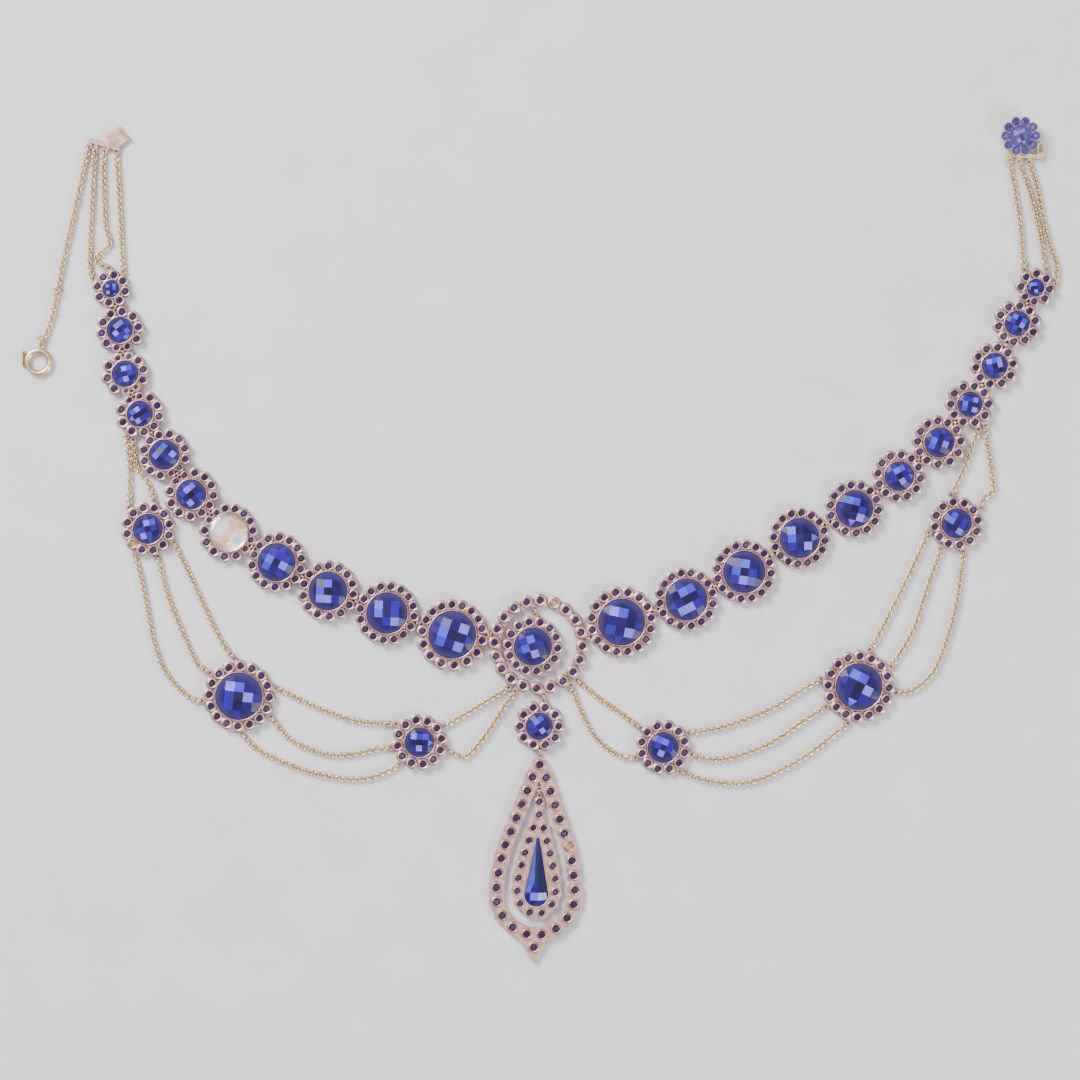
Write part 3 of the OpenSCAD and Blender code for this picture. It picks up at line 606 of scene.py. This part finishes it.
def foil_bowl(seat):
    """The foil in small faces, with the tones of its patches."""
    x, y, floor, radius = seat
    points, tones = [], []
    for k in range(FOIL_RINGS):
        far = 1 - k / FOIL_RINGS
        for i in range(FOIL_TURNS):
            a = 2 * math.pi * i / FOIL_TURNS
            u, v = far * math.cos(a), far * math.sin(a)
            wall = FOIL_WALL - FOIL_LEAN * math.cos(a)
            rise = SEAT_LIFT + FOIL_BOWL * far**2 + wall * far**5
            points.append(
                (x + radius * FOIL_SHARE * u, y + radius * FOIL_SHARE * v, floor + rise)
            )
            shade, weight = FOIL_TONE * FOIL_WEIGHT, FOIL_WEIGHT
            for p, q, size, tone in FOIL_PATCHES:
                near = math.exp(-((u - p) ** 2 + (v - q) ** 2) / size**2)
                shade += near * tone
                weight += near
            tones.append(shade / weight)
    faces = stacked_faces(FOIL_RINGS, FOIL_TURNS)
    return points, faces, [tones[min(face)] for face in faces]


def bare_disc(seat):
    """The bare floor of a small seat."""
    x, y, floor, radius = seat
    radius *= BARE_SHARE
    turns = [2 * math.pi * k / BARE_SIDES for k in range(BARE_SIDES)]
    ring = [
        (x + radius * math.cos(a), y + radius * math.sin(a), floor + SEAT_LIFT) for a in turns
    ]
    return ring, [list(range(BARE_SIDES))]


def bezel(x, y, z, inner, outer, height, around, wobble):
    """A rounded rim between two radii, a little uneven as if burnished by hand."""
    points = []
    major = (inner + outer) / 2
    minor = (outer - inner) / 2
    phase = random.uniform(0, 2 * math.pi)
    for i in range(around):
        a = 2 * math.pi * i / around
        swell = 1 + wobble * math.sin(3 * a + phase) + wobble * math.sin(7 * a + 2 * phase)
        for j in range(BEZEL_ACROSS):
            b = 2 * math.pi * j / BEZEL_ACROSS
            r = major + minor * math.cos(b)
            rise = height * swell * math.sin(b)
            points.append((x + r * math.cos(a), y + r * math.sin(a), z + rise))
    return points, tube_faces(around, BEZEL_ACROSS)


def collet_radius(node, seat, others):
    """How wide a small collet is: as its neighbours leave room, or as the frame has it."""
    if node in COLLET_RADIUS:
        return COLLET_RADIUS[node]
    if seat[3] < FULL_SEAT - NARROWER:
        return seat[3] + FACING_WALL
    nearest = min(math.dist(seat[:2], other[:2]) for other in others if other is not seat)
    return nearest / 2 * COLLET_LAP


def add_bezel(shape, node, seat, others):
    x, y, floor, radius = seat
    if holds_main(seat):
        inner, outer = radius - MAIN_LAP, radius + MAIN_WALL
        top = floor + MAIN_SEAT_DEPTH
        shape.add(*bezel(x, y, top, inner, outer, MAIN_HEIGHT, MAIN_TURNS, MAIN_WOBBLE))
        return
    lap, height = (PENDANT_LAP, PENDANT_HEIGHT) if node in PENDANT else (SMALL_LAP, SMALL_HEIGHT)
    outer = collet_radius(node, seat, others)
    top = floor + SMALL_SEAT_DEPTH
    shape.add(*bezel(x, y, top, radius - lap, outer, height, SMALL_TURNS, SMALL_WOBBLE))


def set_stone(shape, seat):
    """Add the stone of a seat: domed with square facets in a main one, eight-sided in a small."""
    x, y, floor, radius = seat
    if holds_main(seat):
        girdle = floor + MAIN_SEAT_DEPTH - MAIN_BELOW_BEZEL
        turn = random.uniform(0, math.pi / 2)
        points, faces = square_cut(radius - STONE_CLEARANCE, radius * DOME_RISE, turn)
        tones = dome_tones(points, faces, radius)
    else:
        girdle = floor + SMALL_SEAT_DEPTH - SMALL_BELOW_BEZEL
        turn = random.uniform(0, math.pi / 4)
        points, faces = eight_cut(radius - STONE_CLEARANCE, SMALL_RISE, turn)
        tones = facet_tones(points, faces)
    rims = [math.hypot(p[0], p[1]) / radius for p in points]
    shape.add([(p[0] + x, p[1] + y, p[2] + girdle) for p in points], faces, tones, rims)


# Shapes of the chains

def smooth_path(points):
    """Points of the Catmull-Rom curve through a path."""
    fine = []
    last = len(points) - 1
    for k in range(last):
        a, b, c, d = (points[min(max(i, 0), last)] for i in (k - 1, k, k + 1, k + 2))
        for s in range(PATH_STEPS):
            t = s / PATH_STEPS
            fine.append(
                b
                + (c - a) * 0.5 * t
                + (2 * a - 5 * b + 4 * c - d) * 0.5 * t * t
                + (3 * b - 3 * c + d - a) * 0.5 * t**3
            )
    fine.append(points[last])
    return np.array(fine)


def links_along(points):
    """Places, headings and twists of an odd number of links, upright at both ends."""
    points = list(points)
    start = points[0] - points[1]
    stop = points[-1] - points[-2]
    points[0] = points[0] + start / np.linalg.norm(start) * END_TO_LINK
    points[-1] = points[-1] + stop / np.linalg.norm(stop) * END_TO_LINK
    fine = smooth_path(points)
    steps = np.linalg.norm(np.diff(fine, axis=0), axis=1)
    run = np.concatenate([[0], np.cumsum(steps)])
    count = int(round(run[-1] / LINK_PITCH / 2)) * 2 + 1

    def at(s):
        s = min(max(s, 0), run[-1])
        return [np.interp(s, run, fine[:, axis]) for axis in (0, 1)]

    for k, s in enumerate(np.linspace(0, run[-1], count)):
        ahead, behind = at(s + LOOK_AHEAD), at(s - LOOK_AHEAD)
        heading = math.atan2(ahead[1] - behind[1], ahead[0] - behind[0])
        upright = k % 2 == 0
        from_end = min(k, count - 1 - k)
        swing = LEANING_TWIST * min(1, from_end / LINKS_TO_LEAN)
        if from_end:
            swing += random.uniform(-TWIST_SPREAD, TWIST_SPREAD)
        yield at(s), heading, math.radians((90 if upright else 0) + swing)


def add_link(
    shape, place, heading, twist, radius=LINK_RADIUS, wire=WIRE_RADIUS, height=LINK_HEIGHT
):
    """A round link whose plane holds its heading and is twisted about it, from level at 0."""
    along = np.array((math.cos(heading), math.sin(heading), 0))
    side = np.array((-math.sin(heading), math.cos(heading), 0))
    up = np.array((0, 0, 1))
    across = side * math.cos(twist) + up * math.sin(twist)
    through = np.cross(along, across)
    a = np.repeat(np.arange(LINK_TURNS) * 2 * math.pi / LINK_TURNS, WIRE_TURNS)
    b = np.tile(np.arange(WIRE_TURNS) * 2 * math.pi / WIRE_TURNS, LINK_TURNS)
    r = radius + wire * np.cos(b)
    points = (
        np.array((place[0], place[1], height))
        + np.outer(r * np.cos(a), along)
        + np.outer(r * np.sin(a), across)
        + np.outer(wire * np.sin(b), through)
    )
    shape.add(points.tolist(), tube_faces(LINK_TURNS, WIRE_TURNS))


def add_jump_ring(shape, links, x, y, lean, radius):
    """A wider ring that lies askew over the chain, round it and leaning from level."""
    heading = min(links, key=lambda link: math.dist(link[0], (x, y)))[1] + math.pi / 2
    lean = math.radians(lean)
    height = radius * math.sin(lean) + JUMP_LIFT
    add_link(shape, (x, y), heading, lean, radius, JUMP_WIRE, height)


# Materials

def material(name):
    made = bpy.data.materials.new(name)
    made.use_nodes = True
    nodes = made.node_tree.nodes
    return made, nodes, made.node_tree.links, nodes["Principled BSDF"]


def noise_node(nodes, links, scale, detail=3.0):
    coords = nodes.new("ShaderNodeTexCoord")
    texture = nodes.new("ShaderNodeTexNoise")
    texture.inputs["Scale"].default_value = scale
    texture.inputs["Detail"].default_value = detail
    links.new(coords.outputs["Object"], texture.inputs["Vector"])
    return texture


def range_node(nodes, links, source, low, high):
    """A value from 0 to 1 spread from low to high."""
    spread = nodes.new("ShaderNodeMapRange")
    spread.inputs["To Min"].default_value = low
    spread.inputs["To Max"].default_value = high
    links.new(source, spread.inputs["Value"])
    return spread.outputs["Result"]


def ramp_node(nodes, links, source, stops):
    """The colours of the stops, which are (place, colour), by a value."""
    ramp = nodes.new("ShaderNodeValToRGB")
    while len(ramp.color_ramp.elements) < len(stops):
        ramp.color_ramp.elements.new(0.5)
    for element, (place, colour) in zip(ramp.color_ramp.elements, stops):
        element.position = place
        element.color = (*colour, 1)
    links.new(source, ramp.inputs["Fac"])
    return ramp.outputs["Color"]


def mix_node(nodes, links, share, colours, colour):
    """Colours turned into one plain colour by a share."""
    mix = nodes.new("ShaderNodeMix")
    mix.data_type = "RGBA"
    links.new(share, mix.inputs["Factor"])
    links.new(colours, mix.inputs["A"])
    mix.inputs["B"].default_value = (*colour, 1)
    return mix.outputs["Result"]


def attribute_node(nodes, name):
    attribute = nodes.new("ShaderNodeAttribute")
    attribute.attribute_name = name
    return attribute.outputs["Fac"]


def bump_node(nodes, links, height, strength, depth):
    bump = nodes.new("ShaderNodeBump")
    bump.inputs["Strength"].default_value = strength
    bump.inputs["Distance"].default_value = depth * MM
    links.new(height, bump.inputs["Height"])
    return bump


def toned_colours(nodes, links, clouds, spread, stops):
    """The colours of the stops by each face's tone, clouded by a noise texture."""
    blend = nodes.new("ShaderNodeMath")
    blend.operation = "ADD"
    cloud = range_node(nodes, links, clouds.outputs["Fac"], -spread, spread)
    links.new(cloud, blend.inputs[0])
    links.new(attribute_node(nodes, "tone"), blend.inputs[1])
    return ramp_node(nodes, links, blend.outputs["Value"], stops)


def gold(name, light, dark, side_shade, roughness):
    """Worn metal: patches of two tones, with painted shade greying its upright faces, rounded
    edges and dents.
    """
    made, nodes, links, shader = material(name)
    patches = noise_node(nodes, links, PATCH_SCALE)
    tones = ramp_node(nodes, links, patches.outputs["Fac"], [(0.4, dark), (0.6, light)])
    geometry = nodes.new("ShaderNodeNewGeometry")
    split = nodes.new("ShaderNodeSeparateXYZ")
    links.new(geometry.outputs["Normal"], split.inputs["Vector"])
    # Painted shade: the steeper a face, the more it takes the third colour, darker and greyer than
    # the patches
    upright = ramp_node(nodes, links, split.outputs["Z"], [(0.15, WHITE), (0.8, BLACK)])
    links.new(mix_node(nodes, links, upright, tones, side_shade), shader.inputs["Base Color"])
    shader.inputs["Metallic"].default_value = 1.0
    wear = noise_node(nodes, links, WEAR_SCALE)
    rough = range_node(nodes, links, wear.outputs["Fac"], roughness - 0.08, roughness + 0.12)
    links.new(rough, shader.inputs["Roughness"])
    rounded = nodes.new("ShaderNodeBevel")
    rounded.samples = 4
    rounded.inputs["Radius"].default_value = 0.12 * MM
    dents = noise_node(nodes, links, DENT_SCALE)
    bump = bump_node(nodes, links, dents.outputs["Fac"], strength=0.6, depth=0.08)
    links.new(rounded.outputs["Normal"], bump.inputs["Normal"])
    links.new(bump.outputs["Normal"], shader.inputs["Normal"])
    return made


def paste(name, stops, painted_rim_colour, painted_rim_share):
    """Foiled glass: each facet has its own tone, which holds random depth of colour and also
    painted light and shade, and the rim of the stone is painted greyer, as light falls on its
    steep edge.
    """
    made, nodes, links, shader = material(name)
    clouds = noise_node(nodes, links, CLOUD_SCALE)
    colours = toned_colours(nodes, links, clouds, 0.1, stops)
    # Painted light and shade: towards its rim the stone takes a greyer colour
    rim = attribute_node(nodes, "rim")
    share = ramp_node(nodes, links, rim, [(0.66, BLACK), (0.97, (painted_rim_share,) * 3)])
    links.new(mix_node(nodes, links, share, colours, painted_rim_colour), shader.inputs["Base Color"])
    shader.inputs["Roughness"].default_value = 0.08
    shader.inputs["Specular IOR Level"].default_value = 0.12
    return made


def foil_material():
    """The bare foil of the empty cup: white, with a peach swirl and pale blue patches."""
    made, nodes, links, shader = material("bare_foil")
    swirl = noise_node(nodes, links, SWIRL_SCALE, detail=2.0)
    swirl.inputs["Distortion"].default_value = 1.2
    links.new(toned_colours(nodes, links, swirl, 0.35, FOIL), shader.inputs["Base Color"])
    shader.inputs["Roughness"].default_value = 0.3
    shader.inputs["Metallic"].default_value = 0.85
    bump = bump_node(nodes, links, swirl.outputs["Fac"], strength=0.7, depth=0.3)
    links.new(bump.outputs["Normal"], shader.inputs["Normal"])
    return made


def floor_material():
    made, nodes, links, shader = material("pale_floor")
    speckle = noise_node(nodes, links, FLOOR_SCALE)
    links.new(ramp_node(nodes, links, speckle.outputs["Fac"], FLOOR), shader.inputs["Base Color"])
    shader.inputs["Roughness"].default_value = 0.8
    return made


# Each gold's third colour is the painted shade of its upright faces
rose_gold = gold("rose_gold", (0.84, 0.50, 0.43), (0.56, 0.31, 0.28), (0.36, 0.26, 0.30), 0.34)
yellow_gold = gold("yellow_gold", (0.99, 0.77, 0.45), (0.86, 0.60, 0.31), (0.62, 0.46, 0.34), 0.3)
bare_gold = gold("bare_gold", (0.68, 0.47, 0.20), (0.52, 0.35, 0.14), (0.42, 0.29, 0.18), 0.4)
# The third argument of each paste is its rim colour, painted as light falls on the steep edge
blue_paste = paste("blue_paste", BLUE, (0.070, 0.060, 0.175), 0.75)
pear_paste = paste("pear_paste", PEAR, (0.04, 0.04, 0.14), 0.5)
violet_paste = paste("violet_paste", VIOLET, (0.05, 0.035, 0.07), 0.6)
lavender_paste = paste("lavender_paste", LAVENDER, (0.15, 0.125, 0.42), 0.6)
bare_foil = foil_material()


# Stones and bezels, where the frame has seats

MAIN_STANDS_FOR = {
    "row_left": "row_stones_left",
    "row_right": "row_stones_right",
    "swag_left": "swag_stones_left",
    "swag_right": "swag_stones_right",
    "centre_setting": "centre_stone",
    "small_drop_setting": "small_drop_stone",
}
SMALL_STANDS_FOR = {
    "centre_ring": ["ring_small_stones"],
    "inner_clusters": ["centre_small_stones"],
    "pendant": ["pendant_small_stones"],
}
SMALL_TOGETHER = {
    "centre_setting": "inner_clusters",
    "small_drop_setting": "inner_clusters",
    "pendant_frame": "pendant",
    "pear_setting": "pendant",
}


def group_of(node):
    """The group of a cluster, such as row_left, or the node itself where it stands alone."""
    kind, _, place = node.partition("_setting_")
    return f"{kind}_{place.split('_')[0]}" if place else node


main_stones = {}
small_stones = {}
bezels = {}
bare_seats = Shape()

for node in SETTINGS:
    key = group_of(node)
    found = seats(node)
    for seat in found:
        add_bezel(bezels.setdefault(key, Shape()), node, seat, found)
        if not is_lost(node, seat):
            stones = main_stones if holds_main(seat) else small_stones
            group = key if holds_main(seat) else SMALL_TOGETHER.get(node, key)
            set_stone(stones.setdefault(group, Shape()), seat)
        elif holds_main(seat):
            cup = Shape()
            cup.add(*foil_bowl(seat))
            cup.build("empty_cup_foil", bare_foil, "rose_gold")
        else:
            bare_seats.add(*bare_disc(seat))

bare_seats.build("bare_seats", bare_gold, "yellow_gold")
for key, shape in main_stones.items():
    name = MAIN_STANDS_FOR[key] + "_cut"
    shape.build(name, blue_paste, "blue_paste", smooth=False, stands_for=[MAIN_STANDS_FOR[key]])
for key, shape in bezels.items():
    shape.build(key + "_bezels", rose_gold, "rose_gold")
for key, shape in small_stones.items():
    name = key + "_small_stones"
    stands_for = SMALL_STANDS_FOR.get(key, ())
    shape.build(name, violet_paste, "violet_paste", smooth=False, stands_for=stands_for)

pear = Shape()
pear.add(*pear_cut())
pear.build("pear_stone_cut", pear_paste, "blue_paste", smooth=False, stands_for=["pear_stone"])

rosette = Shape()
rosette_bezels = Shape()
rosette_seats = [seat for seat in seats("clasp_box") if seat[2] > ROSETTE_FLOOR]
for seat in rosette_seats:
    add_bezel(rosette_bezels, "clasp_box", seat, rosette_seats)
    set_stone(rosette, seat)
rosette.build(
    "rosette_stones", lavender_paste, "lavender_paste", smooth=False, stands_for=["clasp_stones"]
)
rosette_bezels.build("rosette_bezels", lavender_paste, "lavender_paste")


# Chains of interlocking links, along the frame's chains

for node in CHAINS:
    shape = Shape()
    for path in centrelines(node):
        links = list(links_along(path))
        for place, heading, twist in links:
            add_link(shape, place, heading, twist)
        if node == "safety_chain":
            for ring in JUMP_RINGS:
                add_jump_ring(shape, links, *ring)
    shape.build(node + "_links", yellow_gold, "yellow_gold", stands_for=[node])


# Metal of the frame that is shown as it is

for node in [*SETTINGS, "clasp_tongue", *YELLOW_METAL]:
    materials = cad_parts[node].data.materials
    materials.clear()
    materials.append(yellow_gold if node in YELLOW_METAL else rose_gold)


# Floor, light and camera

bpy.ops.mesh.primitive_plane_add(size=FLOOR_SIZE, location=(0, 0, 0))
floor = bpy.context.object
floor.name = "floor"
floor.data.materials.append(floor_material())
floor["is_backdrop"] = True

for name, place, width, power, colour in SOFTBOXES:
    data = bpy.data.lights.new(name, "AREA")
    data.shape = "RECTANGLE"
    data.size = data.size_y = width
    data.energy = power
    data.color = colour
    light = bpy.data.objects.new(name, data)
    light.location = place
    light.rotation_euler = (-Vector(place)).to_track_quat("-Z", "Y").to_euler()
    bpy.context.collection.objects.link(light)

world = bpy.data.worlds.new("studio")
world.use_nodes = True
world.node_tree.nodes["Background"].inputs["Color"].default_value = (*SKY, 1)
world.node_tree.nodes["Background"].inputs["Strength"].default_value = SKY_STRENGTH
bpy.context.scene.world = world

camera_data = bpy.data.cameras.new("camera")
camera_data.lens = LENS
camera_data.sensor_width = SENSOR
camera = bpy.data.objects.new("camera", camera_data)
camera.location = (*FRAME_MIDDLE, FRAME_WIDTH * LENS / SENSOR)
bpy.context.collection.objects.link(camera)
bpy.context.scene.camera = camera

[[list(p) for p in box] for box in (cad_box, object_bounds())]
